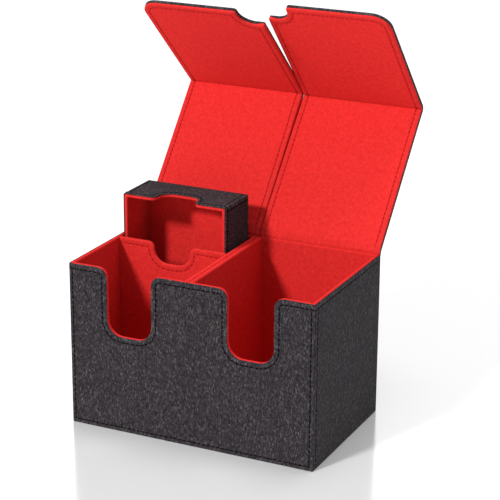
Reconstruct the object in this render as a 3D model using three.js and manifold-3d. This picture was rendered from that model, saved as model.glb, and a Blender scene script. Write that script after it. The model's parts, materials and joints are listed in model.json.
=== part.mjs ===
// A two-bay box for decks of sleeved trading cards. Each bay has its own lid, made of a top
// panel and a front flap, and a small tray slides up and down behind a partition in the left bay.
// Every wall is greyboard with woven cover cloth glued outside and suede lining glued inside.
//
// Millimetres. +Z is up, -Y is the front, and the origin is the centre of the underside.

import * as THREE from "three";
import { mergeVertices } from "three/addons/utils/BufferGeometryUtils.js";
import Module from "manifold-3d";

const wasm = await Module();
wasm.setup();

// ---------------------------------------------------------------- driving dimensions

const WIDTH = 156;
const DEPTH = 95;
const HEIGHT = 100;

const CLOTH = 0.65;
const GLUE = 0.15;
const WALL_BOARD = 1.4;
const LID_BOARD = 1.7;
const TRAY_BOARD = 1.0;
const HEM_LIFT = 0.3;
const LINING_INSET = 0.3;

// The divider is two lined leaves back to back, a little left of the middle.
const DIVIDER_X = -1;
const DIVIDER_SEAM = 0.2;

// The two U-shaped cut-outs of the front wall, through which the cards are thumbed.
const FRONT_CUT_X = 38.6;
const FRONT_CUT = { half: 14.4, depth: 40.5, top: 6, bottom: 9.5 };

// The partition that parts the cards from the tray.
const PARTITION_Y = 8;
const PARTITION_THICK = 2.6;
const PARTITION_CUT = { half: 12, depth: 12.6, top: 4.1, bottom: 8.5 };

// The tray, shown pulled part of the way up.
const TRAY = { width: 68.6, depth: 31.4, height: 81, x: -39.8, y: 26.3, top: 126.8 };
const TRAY_CUT = { half: 13, depth: 12, top: 4, bottom: 8 };

// The lids, half open. Angles are in degrees: a panel's from +Y towards +Z, a fold's from the
// panel to the flap. A closed lid lies on the rim and its flap hangs just clear of the front.
const HINGE_INSET = 1.6;
const HINGE_RISE = 1.95;
const HINGE_GAP = 4;
const LID_GAP = 0.5;
const FRONT_CLEARANCE = 0.8;
const FOLD_GAP = 2.5;
const FLAP_LENGTH = 91.5;
const FLAP_CORNER = 11;
const FLAP_CUT = { half: 14.4, depth: 12.3, top: 2, bottom: 9 };
const LIDS = [
  { side: "left", sign: -1, panelAngle: 49.8, foldAngle: 87.4 },
  { side: "right", sign: 1, panelAngle: 48.6, foldAngle: 84.1 },
];
const HINGE_STRIP = { half: 1.45, thick: 0.9, endInset: 0.5 };

// The round magnets glued into the flaps, and the ones they meet in the front wall.
const MAGNET_RADIUS = 5;
const MAGNET_THICK = 1.2;
const MAGNET_FROM_FOLD = 78;
const MAGNETS_X = { outer: 62, inner: 24 };

// ---------------------------------------------------------------- materials

const COVER_CLOTH = { color: 0x3b393b, roughness: 0.95, metalness: 0 };
const SUEDE = { color: 0xc8181c, roughness: 0.98, metalness: 0 };
const GREYBOARD = { color: 0x8b8378, roughness: 0.9, metalness: 0 };
const STEEL = { color: 0xb8bcc0, roughness: 0.35, metalness: 1 };

// ---------------------------------------------------------------- derived sizes

const SKIN = CLOTH + GLUE;
const WALL = 2 * SKIN + WALL_BOARD;
const LID_HALF = SKIN + LID_BOARD / 2;
const X = WIDTH / 2;
const Y = DEPTH / 2;
const FLOOR = CLOTH + GLUE + WALL_BOARD + GLUE + CLOTH;
const BOARD_TOP = HEIGHT - SKIN;
const HINGE_Y = Y - HINGE_INSET;
const HINGE_Z = HEIGHT + HINGE_RISE;
const PANEL_LENGTH = HINGE_Y + Y + FRONT_CLEARANCE + LID_HALF;

// ---------------------------------------------------------------- solids

function toSolid(geometry) {
  geometry.deleteAttribute("normal");
  geometry.deleteAttribute("uv");
  const merged = mergeVertices(geometry, 1e-4);
  const mesh = new wasm.Mesh({
    numProp: 3,
    vertProperties: new Float32Array(merged.attributes.position.array),
    triVerts: new Uint32Array(merged.index.array),
  });
  return new wasm.Manifold(mesh);
}

function toGeometry(solid) {
  const mesh = solid.getMesh();
  const geometry = new THREE.BufferGeometry();
  geometry.setAttribute("position", new THREE.BufferAttribute(mesh.vertProperties, 3));
  geometry.setIndex(new THREE.BufferAttribute(mesh.triVerts, 1));
  geometry.computeVertexNormals();
  return geometry;
}

function box(x0, x1, y0, y1, z0, z1) {
  const geometry = new THREE.BoxGeometry(x1 - x0, y1 - y0, z1 - z0);
  geometry.translate((x0 + x1) / 2, (y0 + y1) / 2, (z0 + z1) / 2);
  return toSolid(geometry);
}

// A sheet parallel to the XY plane, from z0 up to z1.
function flatSheet(shape, z0, z1) {
  const geometry = new THREE.ExtrudeGeometry(shape, {
    depth: z1 - z0,
    bevelEnabled: false,
    curveSegments: 7,
  });
  geometry.translate(0, 0, z0);
  return toSolid(geometry);
}

// A sheet parallel to the XZ plane, from y0 back to y1.
function uprightSheet(shape, y0, y1) {
  const geometry = new THREE.ExtrudeGeometry(shape, {
    depth: y1 - y0,
    bevelEnabled: false,
    curveSegments: 7,
  });
  geometry.rotateX(Math.PI / 2);
  geometry.translate(0, y1, 0);
  return toSolid(geometry);
}

function disc(x, y, z, radius, thick, axis) {
  const geometry = new THREE.CylinderGeometry(radius, radius, thick, 32);
  if (axis === "z") {
    geometry.rotateX(Math.PI / 2);
  }
  geometry.translate(x, y, z);
  return toSolid(geometry);
}

function named(name, solid, look) {
  const mesh = new THREE.Mesh(toGeometry(solid), new THREE.MeshStandardMaterial(look));
  mesh.name = name;
  return mesh;
}

// ---------------------------------------------------------------- outlines

// A round-bottomed notch let into an edge at height `edge`, drawn from low x to high x. `inset`
// moves the whole notch back into the sheet, as a board's edge lies inside its cloth.
function notch(shape, x, edge, cut, inset) {
  const outer = cut.half + cut.top;
  const inner = cut.half - cut.bottom;
  const topRadius = cut.top - inset;
  const bottomRadius = cut.bottom + inset;
  const topZ = edge - cut.top;
  const bottomZ = edge - cut.depth + cut.bottom;
  shape.lineTo(x - outer, topZ + topRadius);
  shape.absarc(x - outer, topZ, topRadius, Math.PI / 2, 0, true);
  shape.absarc(x - inner, bottomZ, bottomRadius, Math.PI, 1.5 * Math.PI, false);
  shape.absarc(x + inner, bottomZ, bottomRadius, 1.5 * Math.PI, 2 * Math.PI, false);
  shape.absarc(x + outer, topZ, topRadius, Math.PI, Math.PI / 2, true);
}

// A rectangle x0..x1, z0..z1 with a notch in its top edge at each x in `cuts`.
function notchedPanel(x0, x1, z0, z1, cuts, cut, inset) {
  const shape = new THREE.Shape();
  shape.moveTo(x1, z0);
  shape.lineTo(x0, z0);
  shape.lineTo(x0, z1 - inset);
  for (const x of cuts) {
    notch(shape, x, z1, cut, inset);
  }
  shape.lineTo(x1, z1 - inset);
  return shape;
}

function rectangle(x0, x1, y0, y1) {
  return new THREE.Shape([
    new THREE.Vector2(x0, y0),
    new THREE.Vector2(x1, y0),
    new THREE.Vector2(x1, y1),
    new THREE.Vector2(x0, y1),
  ]);
}

// A flap, from its fold at y = FOLD_GAP to its free edge, with a round outer corner and half of
// the thumb notch that the two closed flaps share.
function flapOutline(sign, inset) {
  const outer = X - FLAP_CORNER;
  const end = FLAP_LENGTH - FLAP_CORNER;
  const cut = FLAP_CUT;
  const innerX = cut.half - cut.bottom;
  const points = new THREE.Path();
  points.moveTo(LID_GAP / 2 + inset, FOLD_GAP + inset);
  points.lineTo(X - inset, FOLD_GAP + inset);
  points.absarc(outer, end, FLAP_CORNER - inset, 0, Math.PI / 2, false);
  points.absarc(
    cut.half + cut.top, FLAP_LENGTH - cut.top, cut.top - inset, Math.PI / 2, Math.PI, false);
  points.absarc(
    innerX, FLAP_LENGTH - cut.depth + cut.bottom, cut.bottom + inset, 0, -Math.PI / 2, true);
  points.lineTo(LID_GAP / 2 + inset, FLAP_LENGTH - cut.depth - inset);
  const outline = points.getPoints(7).map((p) => new THREE.Vector2(sign * p.x, p.y));
  return new THREE.Shape(outline);
}

function panelOutline(sign, inset) {
  const x0 = LID_GAP / 2 + inset;
  const x1 = X - inset;
  const low = Math.min(sign * x0, sign * x1);
  const high = Math.max(sign * x0, sign * x1);
  return rectangle(low, high, HINGE_GAP + inset, PANEL_LENGTH - FOLD_GAP - inset);
}

// ---------------------------------------------------------------- the box

const root = new THREE.Group();
root.name = "box";

function addCovers() {
  const cuts = [-FRONT_CUT_X, FRONT_CUT_X];
  const front = notchedPanel(-X, X, HEM_LIFT, HEIGHT, cuts, FRONT_CUT, 0);
  const ends = Y - CLOTH - GLUE;
  const base = SKIN + GLUE;
  root.add(named("front_cover", uprightSheet(front, -Y, -Y + CLOTH), COVER_CLOTH));
  root.add(named("rear_cover", box(-X, X, Y - CLOTH, Y, HEM_LIFT, HEIGHT), COVER_CLOTH));
  root.add(named("left_cover", box(-X, -X + CLOTH, -ends, ends, HEM_LIFT, HEIGHT), COVER_CLOTH));
  root.add(named("right_cover", box(X - CLOTH, X, -ends, ends, HEM_LIFT, HEIGHT), COVER_CLOTH));
  root.add(named("base_cover", box(-X + base, X - base, -Y + base, Y - base, 0, CLOTH), COVER_CLOTH));
}

function magnetPlaces() {
  return [-MAGNETS_X.outer, -MAGNETS_X.inner, MAGNETS_X.inner, MAGNETS_X.outer];
}

function addBoards() {
  const x = X - SKIN;
  const y = Y - SKIN;
  const floorTop = SKIN + WALL_BOARD;
  const standing = floorTop + GLUE;
  const cuts = [-FRONT_CUT_X, FRONT_CUT_X];
  const outline = notchedPanel(-x, x, standing, HEIGHT, cuts, FRONT_CUT, SKIN);
  const magnetZ = HINGE_Z - MAGNET_FROM_FOLD;
  const boardY = -y + WALL_BOARD / 2;
  let front = uprightSheet(outline, -y, -y + WALL_BOARD);
  magnetPlaces().forEach((magnetX, index) => {
    const pocket = disc(magnetX, boardY, magnetZ, MAGNET_RADIUS + GLUE, 2 * WALL_BOARD, "y");
    const magnet = disc(magnetX, boardY, magnetZ, MAGNET_RADIUS, MAGNET_THICK, "y");
    front = front.subtract(pocket);
    root.add(named(`front_magnet_${index + 1}`, magnet, STEEL));
  });
  const end = y - WALL_BOARD - GLUE;
  root.add(named("base_board", box(-x, x, -y, y, SKIN, floorTop), GREYBOARD));
  root.add(named("front_board", front, GREYBOARD));
  root.add(named("rear_board", box(-x, x, y - WALL_BOARD, y, standing, BOARD_TOP), GREYBOARD));
  root.add(named("left_board", box(-x, -x + WALL_BOARD, -end, end, standing, BOARD_TOP), GREYBOARD));
  root.add(named("right_board", box(x - WALL_BOARD, x, -end, end, standing, BOARD_TOP), GREYBOARD));
}

// One leaf of the divider, x0..x1 wide: a board with lining folded over its top edge.
function addDividerLeaf(side, x0, x1) {
  const end = Y - SKIN - WALL_BOARD - GLUE;
  const low = FLOOR - CLOTH;
  const hollow = box(x0 + CLOTH, x1 - CLOTH, -end - 1, end + 1, low - 1, HEIGHT - CLOTH);
  const lining = box(x0, x1, -end, end, low, HEIGHT).subtract(hollow);
  const board = box(x0 + SKIN, x1 - SKIN, -end, end, low, BOARD_TOP);
  root.add(named(`${side}_divider_lining`, lining, SUEDE));
  root.add(named(`${side}_divider_board`, board, GREYBOARD));
}

// The linings of one bay. The outer wall is at x = sign * X and the divider's face at dividerX.
function addBayLinings(side, sign, dividerX) {
  const wallX = sign * (X - SKIN);
  const boardX = sign * (X - SKIN - WALL_BOARD - GLUE);
  const liningX = boardX - sign * CLOTH;
  const clearX = liningX - sign * GLUE;
  const farX = dividerX + sign * GLUE;
  const seamX = DIVIDER_X + sign * DIVIDER_SEAM;
  const wallY = Y - CLOTH - GLUE;
  const boardY = Y - SKIN - WALL_BOARD - GLUE;
  const liningY = boardY - CLOTH;
  const span = (a, b) => [Math.min(a, b), Math.max(a, b)];
  const [sheet0, sheet1] = span(clearX, farX);
  const [cap0, cap1] = span(wallX, seamX);
  const cutX = sign * FRONT_CUT_X;

  const frontShape = notchedPanel(sheet0, sheet1, FLOOR, HEIGHT, [cutX], FRONT_CUT, 0);
  const capShape = notchedPanel(cap0, cap1, FLOOR, HEIGHT, [cutX], FRONT_CUT, 0);
  const cutShape = notchedPanel(cap0 - 1, cap1 + 1, FLOOR - 1, HEIGHT, [cutX], FRONT_CUT, CLOTH);
  const frontCap = uprightSheet(capShape, -wallY, -boardY)
    .subtract(uprightSheet(cutShape, -wallY - 1, -boardY + 1));
  const front = uprightSheet(frontShape, -boardY, -liningY).add(frontCap);

  const rear = box(sheet0, sheet1, liningY, boardY, FLOOR, HEIGHT)
    .add(box(cap0, cap1, boardY, wallY, HEIGHT - CLOTH, HEIGHT));

  const [wall0, wall1] = span(boardX, liningX);
  const [over0, over1] = span(wallX, boardX);
  const end = boardY - GLUE;
  const outer = box(wall0, wall1, -end, end, FLOOR, HEIGHT)
    .add(box(over0, over1, -end, end, HEIGHT - CLOTH, HEIGHT));

  const [floor0, floor1] = span(boardX, farX);
  const floor = box(floor0, floor1, -boardY, boardY, FLOOR - CLOTH, FLOOR - GLUE);

  root.add(named(`${side}_bay_front_lining`, front, SUEDE));
  root.add(named(`${side}_bay_rear_lining`, rear, SUEDE));
  root.add(named(`${side}_bay_outer_lining`, outer, SUEDE));
  root.add(named(`${side}_bay_floor_lining`, floor, SUEDE));
}

// The partition stands in the left bay, between the wall lining and the divider's lining.
function addPartition(dividerX) {
  const x0 = -X + WALL + GLUE;
  const x1 = dividerX - GLUE;
  const y0 = PARTITION_Y - PARTITION_THICK / 2;
  const y1 = PARTITION_Y + PARTITION_THICK / 2;
  const middle = (x0 + x1) / 2;
  const low = FLOOR + GLUE;
  const outline = (inset, bottom) => notchedPanel(
    x0 + inset, x1 - inset, bottom, HEIGHT, [middle], PARTITION_CUT, inset);
  const hollow = uprightSheet(outline(CLOTH, low - 1), y0 + CLOTH, y1 - CLOTH);
  const lining = uprightSheet(outline(0, low), y0, y1).subtract(hollow);
  const board = uprightSheet(outline(SKIN, low), y0 + SKIN, y1 - SKIN);
  root.add(named("partition_lining", lining, SUEDE));
  root.add(named("partition_board", board, GREYBOARD));
}

// ---------------------------------------------------------------- the tray

// The tray's outer box shrunk by `inset` on every side but the open front.
function trayBlock(inset, front) {
  const x = TRAY.width / 2 - inset;
  const y = TRAY.depth / 2;
  return box(
    TRAY.x - x, TRAY.x + x, TRAY.y - y + front, TRAY.y + y - inset,
    TRAY.top - TRAY.height + inset, TRAY.top - inset);
}

// The tray's top as a sheet from z0 up to z1, with the thumb notch in its front edge.
function trayTop(inset, z0, z1) {
  const x = TRAY.width / 2 - inset;
  const y = TRAY.depth / 2;
  const outline = notchedPanel(
    TRAY.x - x, TRAY.x + x, inset - TRAY.y - y, y - TRAY.y, [TRAY.x], TRAY_CUT, inset);
  return flatSheet(outline, -z1, -z0).rotate([180, 0, 0]);
}

// What is left in front of the tray's top when the thumb notch is let into it.
function trayNotch() {
  const mouth = TRAY_CUT.half + TRAY_CUT.top + 1;
  const front = TRAY.y - TRAY.depth / 2;
  const low = TRAY.top - 2 * WALL;
  const high = TRAY.top + 1;
  return box(TRAY.x - mouth, TRAY.x + mouth, front - 1, TRAY.y, low, high)
    .subtract(trayTop(0, low - 1, high + 1));
}

function addTray() {
  const wall = SKIN + TRAY_BOARD;
  const notchSpace = trayNotch();
  const cover = trayBlock(0, 0)
    .subtract(trayBlock(CLOTH, -1))
    .subtract(notchSpace);
  const rimSpace = trayBlock(SKIN - 1, CLOTH).subtract(trayBlock(wall + GLUE, -1));
  const lining = trayBlock(SKIN, 0)
    .subtract(rimSpace)
    .subtract(trayBlock(wall + SKIN, -1))
    .subtract(notchSpace);
  root.add(named("tray_cover", cover, COVER_CLOTH));
  root.add(named("tray_lining", lining, SUEDE));

  const x0 = TRAY.x - TRAY.width / 2;
  const x1 = TRAY.x + TRAY.width / 2;
  const y0 = TRAY.y - TRAY.depth / 2 + SKIN;
  const y1 = TRAY.y + TRAY.depth / 2;
  const z0 = TRAY.top - TRAY.height;
  const z1 = TRAY.top;
  const back = y1 - wall;
  const boards = {
    top: trayTop(SKIN, z1 - wall, z1 - SKIN),
    bottom: box(x0 + SKIN, x1 - SKIN, y0, y1 - SKIN, z0 + SKIN, z0 + wall),
    left: box(x0 + SKIN, x0 + wall, y0, back - GLUE, z0 + wall + GLUE, z1 - wall - GLUE),
    right: box(x1 - wall, x1 - SKIN, y0, back - GLUE, z0 + wall + GLUE, z1 - wall - GLUE),
    back: box(x0 + SKIN, x1 - SKIN, back, y1 - SKIN, z0 + wall + GLUE, z1 - wall - GLUE),
  };
  for (const [place, board] of Object.entries(boards)) {
    root.add(named(`tray_${place}_board`, board, GREYBOARD));
  }
}

// ---------------------------------------------------------------- the lids

// Drawn flat with the hinge along X at y = 0, the free edge towards +Y and the lining up.
function addLayers(group, name, outline) {
  const half = LID_BOARD / 2;
  const cover = flatSheet(outline(0), -LID_HALF, half)
    .subtract(flatSheet(outline(CLOTH), -half - GLUE, half + 1));
  const lining = flatSheet(outline(LINING_INSET), half + GLUE, LID_HALF);
  const board = flatSheet(outline(SKIN), -half, half);
  group.add(named(`${name}_cover`, cover, COVER_CLOTH));
  group.add(named(`${name}_lining`, lining, SUEDE));
  return board;
}

// The strip of cloth that bends at a hinge or a fold, along its axis.
function clothStrip(sign) {
  const { half, thick, endInset } = HINGE_STRIP;
  const near = sign * endInset;
  const far = sign * (X - endInset);
  return box(Math.min(near, far), Math.max(near, far), -half, half, -thick / 2, thick / 2);
}

function addLid({ side, sign, panelAngle, foldAngle }) {
  const panel = new THREE.Group();
  panel.position.set(0, HINGE_Y, HINGE_Z);
  panel.rotation.x = THREE.MathUtils.degToRad(panelAngle);
  root.add(panel);
  const panelBoard = addLayers(panel, `${side}_panel`, (inset) => panelOutline(sign, inset));
  panel.add(named(`${side}_panel_board`, panelBoard, GREYBOARD));
  panel.add(named(`${side}_hinge_cloth`, clothStrip(sign), COVER_CLOTH));

  const flap = new THREE.Group();
  flap.position.set(0, PANEL_LENGTH, 0);
  flap.rotation.x = THREE.MathUtils.degToRad(foldAngle);
  panel.add(flap);
  let flapBoard = addLayers(flap, `${side}_flap`, (inset) => flapOutline(sign, inset));
  for (const [place, x] of Object.entries(MAGNETS_X)) {
    const hole = MAGNET_RADIUS + GLUE;
    const pocket = disc(sign * x, MAGNET_FROM_FOLD, 0, hole, 2 * LID_BOARD, "z");
    const magnet = disc(sign * x, MAGNET_FROM_FOLD, 0, MAGNET_RADIUS, MAGNET_THICK, "z");
    flapBoard = flapBoard.subtract(pocket);
    flap.add(named(`${side}_flap_magnet_${place}`, magnet, STEEL));
  }
  flap.add(named(`${side}_flap_board`, flapBoard, GREYBOARD));
  flap.add(named(`${side}_fold_cloth`, clothStrip(sign), COVER_CLOTH));
}

// ---------------------------------------------------------------- assembly

const leftFace = DIVIDER_X - DIVIDER_SEAM / 2;
const rightFace = DIVIDER_X + DIVIDER_SEAM / 2;

addCovers();
addBoards();
addDividerLeaf("left", leftFace - WALL, leftFace);
addDividerLeaf("right", rightFace, rightFace + WALL);
addBayLinings("left", -1, leftFace - WALL);
addBayLinings("right", 1, rightFace + WALL);
addPartition(leftFace - WALL);
addTray();
LIDS.forEach(addLid);

export default root;
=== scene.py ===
# The looks of the card deck box: woven charcoal cover cloth, red suede lining, sewn edges and
# soft cloth hinges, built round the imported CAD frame.
#
# Shapes are worked out in millimetres and become metres when a mesh is placed. Each cloth piece is
# first laid out flat, in (along, up, layer) coordinates, and a "lay" function then bends it onto
# the box, the tray or a lid.

import json
import math

import bmesh
import bpy
from mathutils import Matrix, Vector
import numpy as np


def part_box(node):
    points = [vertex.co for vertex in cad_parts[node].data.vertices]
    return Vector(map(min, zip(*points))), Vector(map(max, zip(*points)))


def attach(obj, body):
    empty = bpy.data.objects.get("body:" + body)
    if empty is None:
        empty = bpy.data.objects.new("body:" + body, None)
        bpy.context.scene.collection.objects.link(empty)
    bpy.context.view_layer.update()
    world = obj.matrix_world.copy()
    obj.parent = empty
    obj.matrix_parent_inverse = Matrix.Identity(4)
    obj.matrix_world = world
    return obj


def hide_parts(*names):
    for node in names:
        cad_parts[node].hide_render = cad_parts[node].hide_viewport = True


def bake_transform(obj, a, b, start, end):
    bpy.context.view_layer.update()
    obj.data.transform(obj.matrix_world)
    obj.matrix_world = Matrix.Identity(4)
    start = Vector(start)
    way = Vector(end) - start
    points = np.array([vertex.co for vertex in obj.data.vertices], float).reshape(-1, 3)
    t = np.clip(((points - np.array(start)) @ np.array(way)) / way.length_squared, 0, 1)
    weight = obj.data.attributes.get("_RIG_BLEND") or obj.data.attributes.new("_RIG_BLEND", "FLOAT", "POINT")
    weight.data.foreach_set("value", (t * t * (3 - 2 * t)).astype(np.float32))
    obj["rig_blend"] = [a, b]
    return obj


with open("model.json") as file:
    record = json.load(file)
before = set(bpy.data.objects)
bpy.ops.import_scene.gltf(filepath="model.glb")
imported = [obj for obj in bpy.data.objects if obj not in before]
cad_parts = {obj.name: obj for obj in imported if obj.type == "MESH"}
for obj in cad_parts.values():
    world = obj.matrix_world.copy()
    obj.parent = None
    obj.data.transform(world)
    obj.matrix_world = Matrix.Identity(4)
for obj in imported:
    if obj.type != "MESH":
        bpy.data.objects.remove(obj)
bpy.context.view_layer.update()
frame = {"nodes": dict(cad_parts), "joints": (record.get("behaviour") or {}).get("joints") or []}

MM = 0.001

# ---- sizes, from the frame


def node_box(name):
    """The low and high corners of a CAD node, in millimetres."""
    low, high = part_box(name)
    return low / MM, high / MM


front_high = node_box("front_cover")[1]
HALF_WIDTH = front_high.x
HALF_DEPTH = node_box("rear_cover")[1].y
HEIGHT = front_high.z

CLOTH = 0.65
WALL = 3.0
DIVIDER_LEAF = 3.0
INNER_X = HALF_WIDTH - WALL
INNER_Y = HALF_DEPTH - WALL
DIVIDER_LEFT = node_box("left_divider_lining")[0].x
DIVIDER_RIGHT = node_box("right_divider_lining")[1].x
partition_low, partition_high = node_box("partition_lining")
tray_low, tray_high = node_box("tray_cover")

FRONT_CUT_X = 38.6
FRONT_CUT = {"half": 14.4, "depth": 40.5, "top": 6.0, "bottom": 9.5}
PARTITION_STITCH_INSET = 3.3
PARTITION_CUT = {"half": 12.0, "depth": 12.6, "top": 4.1, "bottom": 8.5}
TRAY_CUT = {"half": 13.0, "depth": 12.0, "top": 4.0, "bottom": 8.0}
FLAP_CUT = {"half": 14.4, "depth": 12.3, "top": 2.0, "bottom": 9.0}
FLAP_CORNER = 11.0
LID_GAP = 0.1
LID_HALF = 1.65
REAR_TOP = HEIGHT - 0.4

# ---- small maths


def clamp(value, low, high):
    return max(low, min(high, value))


def smooth(value):
    t = clamp(value, 0.0, 1.0)
    return t * t * (3 - 2 * t)


def mix(a, b, share):
    return a + (b - a) * share


# ---- outlines

MARGIN = 20.0
ARC_STEPS = 8
SMALLEST_RADIUS = 0.02
SHORTEST_SIDE = 0.1


class Outline:
    """A closed outline drawn anticlockwise: (x, y, radius) corners, each square or straight on."""

    def __init__(self, corners):
        self.corners = corners

    def loop(self, inset):
        """The outline moved inwards by inset, always with the same number of points."""
        points = []
        count = len(self.corners)
        for i, (x, y, radius) in enumerate(self.corners):
            px, py, _ = self.corners[i - 1]
            nx, ny, _ = self.corners[(i + 1) % count]
            before = Vector((x - px, y - py)).normalized()
            after = Vector((nx - x, ny - y)).normalized()
            turn = before.x * after.y - before.y * after.x
            inward = Vector((-before.y - after.y, before.x + after.x)) / (1 + before.dot(after))
            corner = Vector((x, y)) + inward * inset
            if abs(turn) < 1e-6:
                points.append((corner.x, corner.y))
                continue
            rounding = max(radius - inset * math.copysign(1, turn), SMALLEST_RADIUS)
            if turn < 0:
                rounding = min(rounding, math.dist((x, y), (px, py)) - SHORTEST_SIDE)
                rounding = min(rounding, math.dist((x, y), (nx, ny)) - SHORTEST_SIDE)
            centre = corner + (after - before) * rounding
            for step in range(ARC_STEPS + 1):
                angle = math.pi / 2 * step / ARC_STEPS
                spoke = before * math.sin(angle) - after * math.cos(angle)
                points.append(tuple(centre + spoke * rounding))
        return points


def rectangle(low_x, low_y, high_x, high_y, radius=0):
    return Outline([
        (low_x, low_y, radius), (high_x, low_y, radius),
        (high_x, high_y, radius), (low_x, high_y, radius)])


def notch_corners(x, edge, cut):
    """A round-bottomed notch in a top edge, as corners from right to left."""
    low = edge - cut["depth"]
    return [
        (x + cut["half"], edge, cut["top"]),
        (x + cut["half"], low, cut["bottom"]),
        (x - cut["half"], low, cut["bottom"]),
        (x - cut["half"], edge, cut["top"]),
    ]


def strip_outline(low_x, high_x, low_y, top, notches, cut, on_top=()):
    """A long strip whose top edge carries notches, wider than it will be cut on its other sides."""
    corners = [
        (low_x - MARGIN, low_y - MARGIN, 0),
        (high_x + MARGIN, low_y - MARGIN, 0),
        (high_x + MARGIN, top, 0),
    ]
    marks = [(x, None) for x in on_top] + [(x, cut) for x in notches]
    for x, shape in sorted(marks, key=lambda mark: -mark[0]):
        if shape:
            corners += notch_corners(x, top, shape)
        else:
            corners.append((x, top, 0))
    corners.append((low_x - MARGIN, top, 0))
    return Outline(corners)


# ---- flat cloth

FLAT_EDGE = 1e-4
WELD = 2e-6
FURTHEST_OUT = -4.0
OUTER_FACE = -0.3


def flat_cloth(outline, rings, stitch_inset=None, straighten=None):
    """Cloth laid flat: a face inside the first ring, strips from ring to ring, a face inside the last.

    A ring is (inset, layer). The layer is the point's height through the cloth, and the UV follows
    the cloth's own surface, so a weave runs on round an edge. straighten(index, x, y, layer) may
    move a point.
    """
    bm = bmesh.new()
    uv_layer = bm.loops.layers.uv.new("cloth")
    seam = bm.verts.layers.float.new("seam")
    band = bm.verts.layers.float.new("edge_band")
    loops = []
    uvs = []
    unrolled = rings[0][0]
    last = rings[0]
    for index, (inset, layer) in enumerate(rings):
        unrolled -= math.hypot(inset - last[0], layer - last[1])
        last = (inset, layer)
        plain = outline.loop(inset)
        spread = outline.loop(max(unrolled, FURTHEST_OUT))
        if straighten:
            plain = [straighten(index, x, y, layer) for x, y in plain]
        else:
            plain = [(x, y, layer) for x, y in plain]
        loops.append([bm.verts.new(point) for point in plain])
        uvs.append(spread)
        # seam marks where shade is painted into the stitch groove, edge_band where a highlight is painted
        # between the row and the edge
        if stitch_inset:
            for vert in loops[-1]:
                vert[seam] = 1.0 if abs(inset - stitch_inset) < 0.2 else 0.0
                vert[band] = 1.0 if inset < stitch_inset - 0.6 else 0.0

    def add_face(corners):
        face = bm.faces.new([vert for vert, _ in corners])
        for loop, (_, uv) in zip(face.loops, corners):
            loop[uv_layer].uv = uv

    count = len(loops[0])
    add_face(list(zip(loops[0], uvs[0])))
    for ring in range(len(rings) - 1):
        for i in range(count):
            j = (i + 1) % count
            add_face([
                (loops[ring][j], uvs[ring][j]),
                (loops[ring][i], uvs[ring][i]),
                (loops[ring + 1][i], uvs[ring + 1][i]),
                (loops[ring + 1][j], uvs[ring + 1][j]),
            ])
    add_face(list(reversed(list(zip(loops[-1], uvs[-1])))))
    for face in bm.faces:
        face.normal_update()
    return bm


def score(bm, axis, values):
    """Adds an edge across the flat cloth at each value of x (axis 0) or y (axis 1)."""
    for value in values:
        slice_cloth(bm, axis, value)


def slice_cloth(bm, axis, value, drop_above=False, drop_below=False):
    """Cuts across the flat cloth, and may drop the part above or below the cut."""
    normal = Vector((1, 0, 0)) if axis == 0 else Vector((0, 1, 0))
    geometry = bm.verts[:] + bm.edges[:] + bm.faces[:]
    bmesh.ops.bisect_plane(
        bm, geom=geometry, dist=FLAT_EDGE, plane_co=normal * value, plane_no=normal,
        clear_outer=drop_above, clear_inner=drop_below)


def trim(bm, low_x, high_x, low_y):
    """Cuts a strip to length at both ends and along its lower edge."""
    slice_cloth(bm, 0, low_x, drop_below=True)
    slice_cloth(bm, 0, high_x, drop_above=True)
    slice_cloth(bm, 1, low_y, drop_below=True)


def cut_for_case(bm, case):
    """Scores cloth where it rolls under a case, and cuts it to the case's girth."""
    lowest = case.base_radius * (1 - math.pi / 2)
    score(bm, 1, [mix(case.base_radius, lowest, step / 5) for step in range(5)])
    trim(bm, 0, case.girth, lowest)


def sink_rows(bm, depth_at, band_at):
    """Presses rows of stitches into the outer face, and marks them and the bands beyond them for painted
    shade in the grooves and a painted highlight on the bands.
    """
    seam = bm.verts.layers.float["seam"]
    band = bm.verts.layers.float["edge_band"]
    for vert in bm.verts:
        x, y, layer = vert.co
        if layer > OUTER_FACE:
            depth = depth_at(x, y)
            vert[seam] = max(vert[seam], depth)
            vert[band] = max(vert[band], band_at(x, y))
            vert.co.z -= GROOVE * depth


def weld(bm):
    """Joins points that lie in the same place, such as the two ends of a strip laid round a case."""
    bmesh.ops.remove_doubles(bm, verts=bm.verts[:], dist=WELD)


def boundary(bm):
    return [edge for edge in bm.edges if edge.is_boundary]


def place(bm, lay):
    """Bends flat cloth into its place with lay(x, y, layer), which gives millimetres."""
    for vert in bm.verts:
        vert.co = Vector(lay(*vert.co)) * MM


def fill_loops(bm, uv_of):
    """Closes each open edge loop with one face, whose UV comes from uv_of(position)."""
    uv_layer = bm.loops.layers.uv.active
    for face in bmesh.ops.edgeloop_fill(bm, edges=boundary(bm))["faces"]:
        for loop in face.loops:
            loop[uv_layer].uv = uv_of(loop.vert.co / MM)


def cap_end(bm, value):
    """Closes the end of a piece that was cut across at y = value."""
    ends = [
        edge for edge in boundary(bm) if all(abs(vert.co.y - value) < 1e-3 for vert in edge.verts)]
    bmesh.ops.triangle_fill(bm, edges=ends, use_beauty=True, normal=(0, 1, 0))


def make_object(name, bm, slot, closed=True):
    """Turns cloth that is in its place into a smooth-shaded piece with its slot's looks."""
    weld(bm)
    if closed:
        bmesh.ops.recalc_face_normals(bm, faces=bm.faces[:])
    for face in bm.faces:
        face.smooth = True
    mesh = bpy.data.meshes.new(name)
    bm.to_mesh(mesh)
    bm.free()
    mesh.materials.append(LOOKS[slot])
    piece = bpy.data.objects.new(name, mesh)
    bpy.context.scene.collection.objects.link(piece)
    return piece


def even_shading(piece):
    """Lets large flat faces set the shading, so that only the rolled edges look round."""
    weighted = piece.modifiers.new("even_shading", "WEIGHTED_NORMAL")
    weighted.mode = "FACE_AREA_WITH_ANGLE"
    weighted.weight = 60


# ---- cloth edges, as rings

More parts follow.
